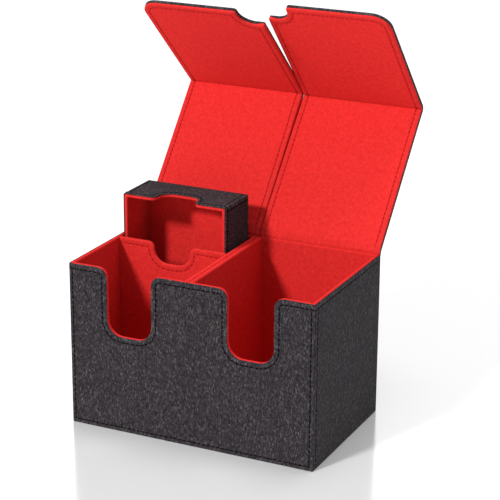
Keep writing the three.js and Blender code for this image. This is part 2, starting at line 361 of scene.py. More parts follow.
STITCH_INSET = 3.15
GROOVE = 0.3
INNERMOST = 5.0


def groove_rings(inset, layer, depth):
    """Rings across a sewn groove, from the inside of the piece outwards."""
    return [
        (inset + 0.75, layer),
        (inset + 0.4, layer - 0.3 * depth),
        (inset + 0.15, layer - 0.9 * depth),
        (inset - 0.15, layer - 0.9 * depth),
        (inset - 0.4, layer - 0.3 * depth),
        (inset - 0.8, layer + 0.1 * depth),
    ]


def quarter(centre_inset, centre_layer, wide, tall, start, end, steps=4):
    """Rings round an elliptical arc. Angle 0 is the cloth's face and 90 the outline's edge."""
    rings = []
    for step in range(steps + 1):
        angle = math.radians(mix(start, end, step / steps))
        rings.append((
            centre_inset - wide * math.sin(angle),
            centre_layer + tall * math.cos(angle)))
    return rings


COVER_EDGE = quarter(0.8, -0.4, 0.8, 0.4, 0, 90) + quarter(0.25, -0.4, 0.25, 0.25, 90, 180)[1:]
COVER_RINGS = (
    [(INNERMOST, 0.0)] + groove_rings(STITCH_INSET, 0.0, GROOVE) + [(1.2, 0.03)]
    + COVER_EDGE + [(INNERMOST, -CLOTH)])
SQUARE_EDGE = (
    [(1.2, 0.0)] + [(mix(0.5, 0.0, step / 4), 0.0) for step in range(5)]
    + [(0.0, mix(0.0, -CLOTH, step / 4)) for step in range(1, 5)]
    + [(INNERMOST, -CLOTH)])
SQUARE_RINGS = [(INNERMOST, 0.0)] + [(inset, 0.0) for inset, _ in groove_rings(STITCH_INSET, 0, 0)]
SQUARE_RINGS += SQUARE_EDGE


def rim_rings(width, tuck=CLOTH + 0.15):
    """Lining that comes up a wall, rolls over its top and tucks in behind the cover cloth."""
    roll = min(0.9, width * 0.42)
    inner = quarter(roll, -roll, roll, roll, 0, 90, 5)
    outer = quarter(0.45, 0.45 - width, 0.45, 0.45, 90, 180, 3)
    back = [(tuck, 0.3 - width), (tuck, -CLOTH - 0.5), (tuck + 0.5, -CLOTH), (INNERMOST, -CLOTH)]
    return [(INNERMOST, 0.0), (1.8, 0.0)] + inner + outer + back


# ---- laying cloth on a case


class Case:
    """A rectangular case with rounded sides and an open rim: the box, a bay or the tray.

    Cloth runs round it from the middle of the side opposite the notches, anticlockwise as seen
    from the rim, and up from its base at layer 0.
    """

    def __init__(self, origin, axes, half_x, half_y, radius, base_radius=0.0):
        self.origin = Vector(origin)
        self.axes = [Vector(axis) for axis in axes]
        self.half_x = half_x
        self.half_y = half_y
        self.radius = radius
        self.base_radius = base_radius
        straight_x = 2 * (half_x - radius)
        straight_y = 2 * (half_y - radius)
        bend = math.pi / 2 * radius
        self.lengths = [straight_x / 2, bend, straight_y, bend, straight_x, bend, straight_y, bend]
        self.lengths.append(straight_x / 2)
        self.girth = sum(self.lengths)
        self.middle = self.girth / 2
        self.corners = []
        along = 0.0
        for index, length in enumerate(self.lengths):
            if index % 2:
                self.corners.append((along, along + length))
            along += length

    def around(self, along):
        """The point and the outward direction at a distance along the girth."""
        inner_x = self.half_x - self.radius
        inner_y = self.half_y - self.radius
        starts = [(0, inner_y), (-inner_x, inner_y), (-inner_x, inner_y), (-inner_x, -inner_y),
                  (-inner_x, -inner_y), (inner_x, -inner_y), (inner_x, -inner_y),
                  (inner_x, inner_y), (inner_x, inner_y)]
        angle = 90.0
        rest = along
        for index, length in enumerate(self.lengths):
            if rest <= length or index == len(self.lengths) - 1:
                break
            rest -= length
            if index % 2:
                angle += 90
        if index % 2:
            angle += 90 * clamp(rest / length, 0, 1)
            rest = 0
        normal = Vector((math.cos(math.radians(angle)), math.sin(math.radians(angle))))
        tangent = Vector((-normal.y, normal.x))
        return Vector(starts[index]) + normal * self.radius + tangent * rest, normal

    def in_space(self, flat, height):
        """The place of a point given across the case and up towards its rim."""
        x_axis, y_axis, rim_axis = self.axes
        return self.origin + x_axis * flat.x + y_axis * flat.y + rim_axis * height

    def lay_outside(self, along, height, layer):
        """Layers run out of the case, and the cloth rolls under it along its base."""
        point, normal = self.around(along)
        radius = self.base_radius
        if radius and height < radius:
            angle = clamp((radius - height) / radius, 0, math.pi / 2)
            out = (radius + layer) * math.cos(angle) - radius
            return self.in_space(point + normal * out, radius - (radius + layer) * math.sin(angle))
        return self.in_space(point + normal * layer, height)

    def lay_inside(self, along, height, layer, wide=(1.0, 1.0, 1.0)):
        """Layers run into the case. wide scales the rim to the right, to the left and in y."""
        point, normal = self.around(along)
        square = normal / max(abs(normal.x), abs(normal.y))
        if layer < 0:
            scale_x = wide[0] if normal.x > 0 else wide[1]
            square = Vector((square.x * scale_x, square.y * wide[2]))
            return self.in_space(point - square * layer, height)
        return self.in_space(point - normal * layer, height)

    def corner_levels(self, steps):
        """Where to score the cloth so that it can bend round the upright corners."""
        levels = []
        for start, end in self.corners:
            levels += [mix(start, end, step / steps) for step in range(steps + 1)]
        return levels


UPRIGHT = [(1, 0, 0), (0, 1, 0), (0, 0, 1)]
FACING_FRONT = [(-1, 0, 0), (0, 0, -1), (0, -1, 0)]

# ---- materials


class Graph:
    """A material's or a world's nodes. Each method adds nodes and gives the socket they end in."""

    def __init__(self, owner, shader):
        owner.use_nodes = True
        self.owner = owner
        self.nodes = owner.node_tree.nodes
        self.links = owner.node_tree.links
        self.shader = self.nodes[shader]

    def feed(self, sockets, values):
        """Links or sets each named or numbered socket."""
        for key, value in values.items():
            if isinstance(value, bpy.types.NodeSocket):
                self.links.new(value, sockets[key])
            else:
                sockets[key].default_value = value

    def surface(self, values):
        self.feed(self.shader.inputs, values)
        return self.owner

    def noise(self, where, scale, detail, roughness=0.5):
        node = self.nodes.new("ShaderNodeTexNoise")
        self.feed(node.inputs, {
            "Vector": where, "Scale": scale, "Detail": detail, "Roughness": roughness})
        return node.outputs["Fac"]

    def object_noise(self, scale, detail):
        where = self.nodes.new("ShaderNodeTexCoord")
        return self.noise(where.outputs["Object"], scale, detail)

    def uv(self):
        node = self.nodes.new("ShaderNodeUVMap")
        node.uv_map = "cloth"
        return node.outputs["UV"]

    def uv_noise(self, scale, detail, roughness, offset):
        """Noise over the cloth's UV, in cycles per millimetre along and up."""
        stretch = self.nodes.new("ShaderNodeMapping")
        self.feed(stretch.inputs, {
            "Vector": self.uv(), "Scale": (*scale, 1),
            "Location": (offset, offset * 0.7, offset * 1.3)})
        return self.noise(stretch.outputs["Vector"], 1.0, detail, roughness)

    def white_noise(self, source, socket, dimensions):
        """A random level for each different value of the source."""
        node = self.nodes.new("ShaderNodeTexWhiteNoise")
        node.noise_dimensions = dimensions
        self.links.new(source, node.inputs[socket])
        return node.outputs["Value"]

    def ramp(self, source, *stops):
        """Colours between stops of (position, colour), where a colour may be one grey level."""
        node = self.nodes.new("ShaderNodeValToRGB")
        elements = node.color_ramp.elements
        while len(elements) < len(stops):
            elements.new(0.5)
        for element, (position, colour) in zip(elements, stops):
            element.position = position
            element.color = (*colour, 1) if isinstance(colour, tuple) else (*(colour,) * 3, 1)
        self.links.new(source, node.inputs["Fac"])
        return node.outputs["Color"]

    def blend(self, kind, share, a, b):
        node = self.nodes.new("ShaderNodeMix")
        node.data_type = "RGBA"
        node.blend_type = kind
        self.feed(node.inputs, {"Factor": share, "A": a, "B": b})
        return node.outputs["Result"]

    def math(self, operation, *values):
        node = self.nodes.new("ShaderNodeMath")
        node.operation = operation
        self.feed(node.inputs, dict(enumerate(values)))
        return node.outputs["Value"]

    def bump(self, height, distance, strength):
        node = self.nodes.new("ShaderNodeBump")
        self.feed(node.inputs, {"Distance": distance * MM, "Strength": strength, "Height": height})
        return node.outputs["Normal"]

    def attribute(self, name):
        node = self.nodes.new("ShaderNodeAttribute")
        node.attribute_name = name
        return node.outputs["Fac"]


def new_material(name):
    return Graph(bpy.data.materials.new(name), "Principled BSDF")


YARN_PITCH = 0.54
WARP_RUN = 1.6
WEFT_RUN = 0.95
WEFT_SHARE = 0.38
DYED_YARN = [
    (0.0, (0.0075, 0.0062, 0.0075)), (0.6, (0.026, 0.0215, 0.026)),
    (0.88, (0.050, 0.0430, 0.0472)), (1.0, (0.109, 0.0980, 0.1025))]
WHITE = (1, 1, 1)


def yarns(graph, across, along, run, seed):
    """The random level of each run of each yarn of one direction, and the yarns' round profile."""
    parts = graph.nodes.new("ShaderNodeSeparateXYZ")
    graph.links.new(graph.uv(), parts.inputs["Vector"])
    wander = graph.uv_noise((0.12, 0.12), 2.0, 0.5, seed)
    bent = graph.math("ADD", parts.outputs[across], wander)
    place_on = graph.math("DIVIDE", bent, YARN_PITCH)
    yarn = graph.math("FLOOR", place_on)
    start = graph.white_noise(yarn, "W", "1D")
    runs = graph.math("DIVIDE", parts.outputs[along], run)
    moved = graph.math("MULTIPLY_ADD", start, 9.0, runs)
    where = graph.nodes.new("ShaderNodeCombineXYZ")
    graph.feed(where.inputs, {"X": yarn, "Y": graph.math("FLOOR", moved), "Z": seed})
    level = graph.white_noise(where.outputs["Vector"], "Vector", "3D")
    hollow = graph.math("COSINE", graph.math("MULTIPLY", place_on, 2 * math.pi))
    return level, graph.math("MULTIPLY", hollow, -1.0)


def paint_seam_shade_and_edge_highlight(graph, colour, seam_shade_factor, band_highlight_factor):
    """Paints shade into the cloth where a row of stitches pulls it into a groove, and paints a highlight on
    the band beyond the row where the band factor is above 1.
    """
    # painted shade: the cloth in a stitch groove is darkened in its colour
    painted_groove_shade = graph.ramp(graph.attribute("seam"), (0.0, WHITE), (1.0, seam_shade_factor))
    # painted highlight: the band between the row and the rounded edge is lightened in its colour
    painted_edge_highlight = graph.ramp(
        graph.attribute("edge_band"), (0.0, WHITE), (1.0, (band_highlight_factor * 0.94, band_highlight_factor * 1.02, band_highlight_factor)))
    darker = graph.blend("MULTIPLY", 1.0, colour, painted_groove_shade)
    return graph.blend("MULTIPLY", 1.0, darker, painted_edge_highlight)


def cover_material():
    """Woven linen-look cloth: dark warp and weft, whose yarns change shade along their length."""
    graph = new_material("cover_cloth")
    warp, across = yarns(graph, "X", "Y", WARP_RUN, 3.0)
    weft, up = yarns(graph, "Y", "X", WEFT_RUN, 17.0)
    broad = graph.uv_noise((0.06, 0.035), 2.0, 0.5, 41.0)
    mixed = graph.blend("MIX", WEFT_SHARE, graph.ramp(warp, *DYED_YARN), graph.ramp(weft, *DYED_YARN))
    crossed = graph.math("MULTIPLY", across, up)
    weave = graph.math("MULTIPLY", graph.math("ADD", crossed, across), 0.5)
    tone = graph.ramp(broad, (0.35, (0.84, 0.81, 0.86)), (0.65, (0.92, 0.89, 0.88)))
    # painted shade in the hollows between yarns and painted light on their crowns, on top of the bump
    shade = graph.ramp(graph.math("MULTIPLY_ADD", weave, 0.5, 0.5), (0.0, 0.44), (1.0, 1.56))
    woven = graph.blend("MULTIPLY", 1.0, graph.blend("MULTIPLY", 1.0, mixed, tone), shade)
    slubs = graph.math("ADD", warp, weft)
    height = graph.math("ADD", graph.math("MULTIPLY", weave, 0.35), slubs)
    return graph.surface({
        # painted shade in the stitch grooves (0.78) and painted highlight on the edge bands (1.2)
        "Base Color": paint_seam_shade_and_edge_highlight(graph, woven, 0.78, 1.2),
        "Normal": graph.bump(height, 0.16, 0.8),
        "Roughness": 0.85,
        "Specular IOR Level": 0.12,
        "Sheen Weight": 0.015,
        "Sheen Roughness": 0.5,
    })


def suede_material():
    """Short-napped red suede, a little mottled where the nap lies differently."""
    graph = new_material("suede_lining")
    nap = graph.uv_noise((1.3, 1.3), 5.0, 0.78, 5.0)
    patch = graph.uv_noise((0.42, 0.38), 4.0, 0.62, 23.0)
    base = graph.ramp(
        patch, (0.30, (0.610, 0.0220, 0.0210)), (0.52, (0.655, 0.0270, 0.0250)),
        (0.72, (0.700, 0.0340, 0.0310)))
    fibres = graph.ramp(nap, (0.32, (0.74, 0.66, 0.66)), (0.68, (1.08, 1.1, 1.1)))
    napped = graph.blend("MULTIPLY", 1.0, base, fibres)
    return graph.surface({
        # painted shade in the stitch grooves (0.8); the edge band is only tinted, not lightened
        "Base Color": paint_seam_shade_and_edge_highlight(graph, napped, 0.8, 1.0),
        "Normal": graph.bump(nap, 0.10, 0.5),
        "Roughness": 0.95,
        "Specular IOR Level": 0.03,
        "Sheen Weight": 0.05,
        "Sheen Roughness": 0.35,
        "Sheen Tint": (1.0, 0.25, 0.22, 1),
    })


def thread_material(name, dark, light):
    """Twisted sewing thread."""
    graph = new_material(name)
    twist = graph.uv_noise((2.0, 6.0), 1.0, 0.5, 7.0)
    return graph.surface({
        "Base Color": graph.ramp(twist, (0.35, dark), (0.65, light)),
        "Normal": graph.bump(twist, 0.08, 0.6),
        "Roughness": 0.7,
        "Specular IOR Level": 0.05,
    })


def greyboard_material():
    """Pressed grey paper board with fibres and specks."""
    graph = new_material("greyboard")
    fibre = graph.object_noise(900, 4.0)
    speck = graph.object_noise(3200, 1.0)
    board = graph.ramp(fibre, (0.35, (0.19, 0.17, 0.145)), (0.65, (0.30, 0.275, 0.24)))
    specks = graph.ramp(speck, (0.30, (0.55, 0.52, 0.48)), (0.42, WHITE))
    return graph.surface({
        "Base Color": graph.blend("MULTIPLY", 1.0, board, specks),
        "Normal": graph.bump(fibre, 0.05, 0.6),
        "Roughness": 0.92,
    })


def magnet_material():
    """Nickel-plated magnet, finely brushed and slightly worn."""
    graph = new_material("magnet")
    wear = graph.object_noise(1400, 3.0)
    return graph.surface({
        "Base Color": graph.ramp(wear, (0.35, (0.50, 0.49, 0.47)), (0.6, (0.66, 0.65, 0.63))),
        "Normal": graph.bump(wear, 0.01, 0.4),
        "Roughness": graph.ramp(wear, (0.3, 0.42), (0.7, 0.26)),
        "Metallic": 1.0,
    })


LOOKS = {
    "cover_cloth": cover_material(),
    "suede_lining": suede_material(),
    "cover_thread": thread_material("cover_thread", (0.0005, 0.0005, 0.0006), (0.003, 0.003, 0.0035)),
    "lining_thread": thread_material("lining_thread", (0.33, 0.006, 0.007), (0.48, 0.011, 0.012)),
    "greyboard": greyboard_material(),
    "magnet": magnet_material(),
}

# ---- stitches

STITCH_LENGTH = 2.1
STITCH_PITCH = 3.05
THREAD_RADIUS = 0.42
THREAD_SIDES = 6
THREAD_FLATNESS = 1.1
# Each stitch dives into the cloth at both ends: (share of its length, height, share of its radius).
STITCH_SHAPE = [
    (0.0, -0.15, 0.5), (0.08, 0.04, 0.85), (0.25, 0.15, 1.0), (0.5, 0.18, 1.0),
    (0.75, 0.15, 1.0), (0.92, 0.04, 0.85), (1.0, -0.15, 0.5)]


def resample(path):
    """Walks a polyline and gives a function from distance to point, with its whole length."""
    marks = [0.0]
    for a, b in zip(path, path[1:]):
        marks.append(marks[-1] + math.dist(a, b))
    total = marks[-1]

    def at(distance):
        distance = clamp(distance, 0, total)
        i = next(i for i in range(len(path) - 1) if distance <= marks[i + 1])
        share = (distance - marks[i]) / max(marks[i + 1] - marks[i], 1e-9)
        return mix(path[i][0], path[i + 1][0], share), mix(path[i][1], path[i + 1][1], share)

    return at, total


def add_stitches(bm, path, lay, layer):
    """Sews along a flat path, with a whole number of stitches from end to end."""
    at, total = resample(path)
    count = max(1, round(total / STITCH_PITCH))
    pitch = total / count
    uv_layer = bm.loops.layers.uv.verify()
    for index in range(count):
        start = index * pitch + (pitch - STITCH_LENGTH) / 2
        centres = []
        for share, height, _ in STITCH_SHAPE:
            x, y = at(start + share * STITCH_LENGTH)
            base = Vector(lay(x, y, layer(0.0)))
            raised = Vector(lay(x, y, layer(1.0)))
            up = (raised - base).normalized()
            centres.append((base + up * height, up))
        rings = []
        for i, (centre, up) in enumerate(centres):
            ahead = centres[min(i + 1, len(centres) - 1)][0] - centres[max(i - 1, 0)][0]
            side = ahead.cross(up).normalized()
            over = side.cross(ahead).normalized()
            radius = THREAD_RADIUS * STITCH_SHAPE[i][2]
            ring = []
            for k in range(THREAD_SIDES):
                angle = 2 * math.pi * k / THREAD_SIDES
                wide = side * math.cos(angle) * radius * THREAD_FLATNESS
                spoke = wide + over * math.sin(angle) * radius
                ring.append(bm.verts.new((centre + spoke) * MM))
            rings.append(ring)
        faces = []
        for i in range(len(rings) - 1):
            for k in range(THREAD_SIDES):
                m = (k + 1) % THREAD_SIDES
                faces.append(([rings[i][k], rings[i][m], rings[i + 1][m], rings[i + 1][k]], i, k))
        faces.append((list(reversed(rings[0])), 0, 0))
        faces.append((rings[-1], len(rings), 0))
        for corners, i, k in faces:
            face = bm.faces.new(corners)
            for loop in face.loops:
                loop[uv_layer].uv = (index * 3.1 + i * 0.4, k * 0.25)


def stitched(name, paths, lay, layer, slot):
    """Rows of stitches as one piece. layer(height) is the cloth layer that far off the groove."""
    bm = bmesh.new()
    bm.loops.layers.uv.new("cloth")
    for path in paths:
        add_stitches(bm, path, lay, layer)
    return make_object(name, bm, slot)


def part_of_loop(loop, wanted):
    """The longest run of a closed loop's points that satisfy wanted(x, y)."""
    count = len(loop)
    keep = [wanted(x, y) for x, y in loop]
    if all(keep):
        return loop + loop[:1]
    best = []
    for start in range(count):
        if keep[start] and not keep[start - 1]:
            run = []
            i = start
            while keep[i % count]:
                run.append(loop[i % count])
                i += 1
            if len(run) > len(best):
                best = run
    return best


# ---- the box's cover

BOX_EDGE = 1.1
BASE_EDGE = 0.7
BOTTOM_STITCH = 2.7
FRONT_STITCH = 2.2
SIDE_STITCH = 3.2
ROW_HALF = 0.45
ROW_STEPS = (-ROW_HALF, -0.2, 0.0, 0.2, ROW_HALF)
RIM_REACH = 8

box_case = Case((0, 0, 0), UPRIGHT, HALF_WIDTH, HALF_DEPTH, BOX_EDGE, BASE_EDGE)
front_left = sum(box_case.corners[1]) / 2
front_right = sum(box_case.corners[2]) / 2
rear_from = box_case.corners[3][1] - 0.2
rear_to = box_case.corners[0][0] + 0.2
upright_rows = [
    front_left - SIDE_STITCH, front_left + FRONT_STITCH,
    front_right - FRONT_STITCH, front_right + SIDE_STITCH]
box_notches = [box_case.middle - FRONT_CUT_X, box_case.middle + FRONT_CUT_X]


def straight_grooves(x, y):
    """How far the upright and bottom rows of stitches pull the cloth in, from 0 to 1."""
    depth = 0.0
    top_row = HEIGHT - STITCH_INSET
    for row in upright_rows:
        if y < top_row:
            depth = max(depth, 1 - abs(x - row) / ROW_HALF)
    if front_left + FRONT_STITCH < x < front_right - FRONT_STITCH:
        depth = max(depth, 1 - abs(y - BOTTOM_STITCH) / ROW_HALF)
    return smooth(depth)


def lit_border_band(x, y):
    """1 between the front's upright or bottom rows of stitches and the box's edges, where a highlight is
    painted on the rounded border.
    """
    if -SIDE_STITCH + 0.5 < x - front_left < FRONT_STITCH - 0.5:
        return 1.0
    if -FRONT_STITCH + 0.5 < x - front_right < SIDE_STITCH - 0.5:
        return 1.0
    if front_left < x < front_right and y < BOTTOM_STITCH - 0.5:
        return 1.0
    return 0.0


def box_cover():
    """One sheet round the front, the sides and the rear, closed below by the base."""
    outline = strip_outline(
        0, box_case.girth, 0, HEIGHT, box_notches, FRONT_CUT, (rear_to, rear_from))

    def straighten(index, x, y, layer):
        if rear_to + 0.01 < x < rear_from - 0.01 or y < HEIGHT - RIM_REACH:
            return (x, y, layer)
        inset, square_layer = SQUARE_RINGS[index]
        return (x, REAR_TOP - inset, square_layer)

    bm = flat_cloth(outline, COVER_RINGS, STITCH_INSET, straighten)
    for row in upright_rows:
        score(bm, 0, [row + step for step in ROW_STEPS])
    score(bm, 0, box_case.corner_levels(6))
    score(bm, 1, [BOTTOM_STITCH + step for step in ROW_STEPS])
    cut_for_case(bm, box_case)
    sink_rows(bm, straight_grooves, lit_border_band)
    place(bm, box_case.lay_outside)
    weld(bm)
    fill_loops(bm, lambda co: (co.x, co.y))
    piece = make_object("box_cover", bm, "cover_cloth")
    even_shading(piece)
    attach(piece, "box")
    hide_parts("front_cover", "rear_cover", "left_cover", "right_cover", "base_cover")

    rim = part_of_loop(outline.loop(STITCH_INSET), lambda x, y: y > 10 and rear_to < x < rear_from)
    rim_start = (rear_from - 1.0, HEIGHT - STITCH_INSET)
    rim_end = (rear_to + 1.0, HEIGHT - STITCH_INSET)
    top = HEIGHT - STITCH_INSET - 1.2
    far_left, left_x, right_x, far_right = upright_rows
    paths = [
        [rim_start] + [p for p in rim if rear_to + 1 < p[0] < rear_from - 1] + [rim_end],
        [(left_x, top), (left_x, BOTTOM_STITCH), (right_x, BOTTOM_STITCH), (right_x, top)],
        [(far_left, top), (far_left, BASE_EDGE + 0.6)],
        [(far_right, top), (far_right, BASE_EDGE + 0.6)],
    ]
    thread = stitched(
        "box_cover_stitches", paths, box_case.lay_outside, lambda s: s - GROOVE, "cover_thread")
    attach(thread, "box")


# ---- the bays' linings


def bay_lining(side, low_x, high_x, divider_right):
    """The lining of a bay's four walls, which rolls over their rims and over half the divider."""
    centre_x = (low_x + high_x) / 2
    bay = Case((centre_x, 0, 0), UPRIGHT, (high_x - low_x) / 2, INNER_Y, 0.35)
    rim = WALL - CLOTH - 0.15
    cut_x = bay.middle + math.copysign(FRONT_CUT_X, centre_x) - centre_x
    outline = strip_outline(0, bay.girth, 0, HEIGHT, [cut_x], FRONT_CUT)
    bm = flat_cloth(outline, rim_rings(rim))
    score(bm, 0, bay.corner_levels(4))
    trim(bm, 0, bay.girth, WALL)
    leaf = DIVIDER_LEAF / rim
    wide = (leaf, 1.0, 1.0) if divider_right else (1.0, leaf, 1.0)
    place(bm, lambda x, y, layer: bay.lay_inside(x, y, layer, wide))
    weld(bm)
    bmesh.ops.bridge_loops(bm, edges=boundary(bm))
    piece = make_object(f"{side}_bay_lining", bm, "suede_lining")
    even_shading(piece)
    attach(piece, "box")
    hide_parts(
        f"{side}_bay_front_lining", f"{side}_bay_rear_lining",
        f"{side}_bay_outer_lining", f"{side}_divider_lining")


# ---- the partition


def partition():
    """The lined board between the cards and the tray, with a thumb notch sewn round."""
    half = (partition_high.y - partition_low.y) / 2
    middle_y = (partition_high.y + partition_low.y) / 2
    middle_x = (partition_high.x + partition_low.x) / 2
    top = partition_high.z
    outline = strip_outline(
        partition_low.x, partition_high.x, 0, top, [middle_x], PARTITION_CUT)
    face = [(INNERMOST, half)] + groove_rings(PARTITION_STITCH_INSET, half, GROOVE)
    roll = quarter(1.1, half - 1.1, 1.1, 1.1, 0, 90, 5)
    front = face + [(1.8, half)] + roll
    back = [(inset, -layer) for inset, layer in reversed(front)]
    bm = flat_cloth(outline, front + back, PARTITION_STITCH_INSET)
    trim(bm, partition_low.x, partition_high.x, partition_low.z)

    def lay(x, y, layer):
        return (x, middle_y - layer, y)

    place(bm, lay)
    piece = make_object("partition_cloth", bm, "suede_lining", closed=False)
    thick = piece.modifiers.new("cloth_thickness", "SOLIDIFY")
    thick.thickness = CLOTH * MM
    thick.offset = -1
    even_shading(piece)
    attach(piece, "box")
    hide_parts("partition_lining")

    inner = [partition_low.x + 1.5, partition_high.x - 1.5]
    row = part_of_loop(
        outline.loop(PARTITION_STITCH_INSET), lambda x, y: y > 20 and inner[0] < x < inner[1])
    row_top = top - PARTITION_STITCH_INSET
    row = [(inner[1], row_top)] + row + [(inner[0], row_top)]
    for name, sign in (("front", 1), ("back", -1)):
        thread = stitched(
            f"partition_{name}_stitches", [row], lay, lambda s: sign * (half - GROOVE + s),
            "lining_thread")
        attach(thread, "box")


# ---- the tray

TRAY_WALL = 2.6
TRAY_EDGE = 1.4
TRAY_STITCH = 2.4
TRAY_HEM = 0.75
TRAY_ROW_HALF = 0.4


def tray():
    """The tray's cover with its folded hem, its rows of stitches and its lining."""
    half_x = (tray_high.x - tray_low.x) / 2
    half_z = (tray_high.z - tray_low.z) / 2
    depth_of_tray = tray_high.y - tray_low.y
    back = ((tray_low.x + tray_high.x) / 2, tray_high.y, (tray_low.z + tray_high.z) / 2)
    outside = Case(back, FACING_FRONT, half_x, half_z, TRAY_EDGE, TRAY_EDGE)
    outline = strip_outline(0, outside.girth, 0, depth_of_tray, [outside.middle], TRAY_CUT)
    rings = [(4.6, 0.0)] + groove_rings(TRAY_STITCH, 0.0, GROOVE) + [(0.9, 0.02)]
    rings += quarter(0.35, -0.35, 0.35, 0.35, 0, 90)
    rings += quarter(0.3, 0.3 - TRAY_HEM, 0.3, 0.3, 90, 180)
    rings += [(2.4, -TRAY_HEM), (2.8, -CLOTH), (4.6, -CLOTH)]
    bm = flat_cloth(outline, rings, TRAY_STITCH)
    score(bm, 0, outside.corner_levels(6))
    rows = []
    for start, end in outside.corners:
        rows += [start - TRAY_STITCH + 1, end + TRAY_STITCH - 1]
    for row in rows:
        score(bm, 0, [row - TRAY_ROW_HALF, row - 0.15, row + 0.15, row + TRAY_ROW_HALF])
    cut_for_case(bm, outside)

    def row_depth(x, y):
        off_row = min(abs(x - row) for row in rows)
        return smooth(1 - off_row / TRAY_ROW_HALF) if y < depth_of_tray - TRAY_STITCH else 0.0

    # marks the tray's rounded corners, where a highlight is painted into the cover colour
    def lit_corner_band(x, y):
        return float(any(start - 1 < x < end + 1 for start, end in outside.corners))

    sink_rows(bm, row_depth, lit_corner_band)
    place(bm, outside.lay_outside)
    weld(bm)
    fill_loops(bm, lambda co: (co.x, co.z))
    piece = make_object("tray_cloth", bm, "cover_cloth")
    even_shading(piece)
    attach(piece, "tray")
    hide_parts("tray_cover")

    rim = part_of_loop(outline.loop(TRAY_STITCH), lambda x, y: y > 10 and 1 < x < outside.girth - 1)
    rim_row = depth_of_tray - TRAY_STITCH
    paths = [[(outside.girth - 0.5, rim_row)] + rim[1:-1] + [(0.5, rim_row)]]
    paths += [[(x, rim_row - 1), (x, TRAY_EDGE)] for x in rows]
    thread = stitched(
        "tray_stitches", paths, outside.lay_outside, lambda s: s - GROOVE, "cover_thread")
    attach(thread, "tray")

    base = (back[0], back[1] - TRAY_WALL, back[2])
    inside = Case(base, FACING_FRONT, half_x - TRAY_WALL, half_z - TRAY_WALL, 0.4)
    rim = depth_of_tray - TRAY_WALL
    outline = strip_outline(0, inside.girth, 0, rim, [inside.middle], TRAY_CUT)
    bm = flat_cloth(outline, rim_rings(TRAY_WALL - TRAY_HEM - 0.05, TRAY_HEM + 0.3))
    score(bm, 0, inside.corner_levels(4))
    trim(bm, 0, inside.girth, 0)

    def lay(x, y, layer):
        point = inside.lay_inside(x, y, layer)
        if layer < 0 and y < 1e-3:
            point.y += CLOTH
        return point

    place(bm, lay)
    weld(bm)
    fill_loops(bm, lambda co: (co.x, co.z))
    piece = make_object("tray_suede", bm, "suede_lining")
    even_shading(piece)
    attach(piece, "tray")
    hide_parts("tray_lining")


# ---- the lids

HINGE_BEND = 3.0
FOLD_BEND = 1.8
HINGE_ZONE = 1.6
FOLD_ZONE = 1.3
SEAM_BEFORE_FOLD = 7.0
LID_STITCH_INSET = 3.5
FREE_EDGE_LIFT = 0.6
COVER_START = -2.35
LINING_START = -2.1
COVER_LAYER = CLOTH / LID_HALF
LID_INNERMOST = 5.5
LIP_INSET = 0.75
LIP_LOW = -0.65
LIP_HIGH = -0.25
HINGE_LEVELS = [-1.9, -1.5, -1.1, -0.7, -0.3, 0.1, 0.5, 0.9, 1.3, 1.8, 2.4, 3.0, 3.7, 4.4]
FOLD_LEVELS = [-3.2, -2.5, -1.9, -1.4, -1.0, -0.6, -0.2, 0.2, 0.6, 1.0, 1.4, 1.9, 2.5, 3.2]


def joint_point(name):
    """Where a joint's axis passes, as (y, z) in millimetres."""
    found = [joint for joint in frame["joints"] if joint["name"] == name][0]
    _, y, z = found["pos_m"]
    return Vector((y, z)) / MM


class Lid:
    """One lid's cloth, which runs up the rear wall, over the hinge, along the panel and down the flap.

    Across is the distance from the gap between the lids, along the distance from the hinge's axis,
    and layer -1 is the cover's face and +1 the lining's.
    """

    def __init__(self, side, sign):
        self.side = side
        self.sign = sign
        self.hinge = joint_point(f"{side}_lid_hinge")
        self.fold = joint_point(f"{side}_flap_fold")
        low, high = node_box(f"{side}_flap_magnet_outer")
        middle = (low + high) / 2
        self.flap_way = (Vector((middle.y, middle.z)) - self.fold).normalized()
        self.panel_way = (self.fold - self.hinge).normalized()
        self.length = (self.fold - self.hinge).length
        flap = frame["nodes"][f"{side}_flap_cover"]
        reach = [Vector((v.co.y, v.co.z)) / MM - self.fold for v in flap.data.vertices]
        self.end = self.length + max(point.dot(self.flap_way) for point in reach)
        self.seam = self.length - SEAM_BEFORE_FOLD

    def bent(self, corner, before, after, radius, offset):
        """The point and heading at offset along two legs that meet at corner, rounded there."""
        turn = math.atan2(before.x * after.y - before.y * after.x, before.dot(after))
        reach = radius * math.tan(abs(turn) / 2)
        if offset <= -reach:
            return corner + before * offset, before
        if offset >= reach:
            return corner + after * offset, after
        share = (offset + reach) / (2 * reach)
        angle = turn * share
        way = Vector((
            before.x * math.cos(angle) - before.y * math.sin(angle),
            before.x * math.sin(angle) + before.y * math.cos(angle)))
        side = math.copysign(radius, turn)
        start = corner - before * reach
        centre = start + Vector((-before.y, before.x)) * side
        return centre - Vector((-way.y, way.x)) * side, way

    def lay(self, across, along, layer):
        """Places a point of the flat cloth. The lid is thinner where it bends."""
        if along < self.length / 2:
            up = Vector((0, 1))
            point, way = self.bent(self.hinge, up, self.panel_way, HINGE_BEND, along)
            outer = mix(1.6, LID_HALF, smooth(along / 4)) - 0.12 * (1 - smooth(abs(along) / 2))
            inner = mix(0.72, LID_HALF, smooth((along - 0.2) / 4))
        else:
            offset = along - self.length
            point, way = self.bent(self.fold, self.panel_way, self.flap_way, FOLD_BEND, offset)
            outer = LID_HALF
            inner = mix(1.2, LID_HALF, smooth(abs(offset) / 2.6))
        height = mix(-outer, inner, (layer + 1) / 2)
        spot = point + Vector((-way.y, way.x)) * height
        return Vector((self.sign * across, spot.x, spot.y))


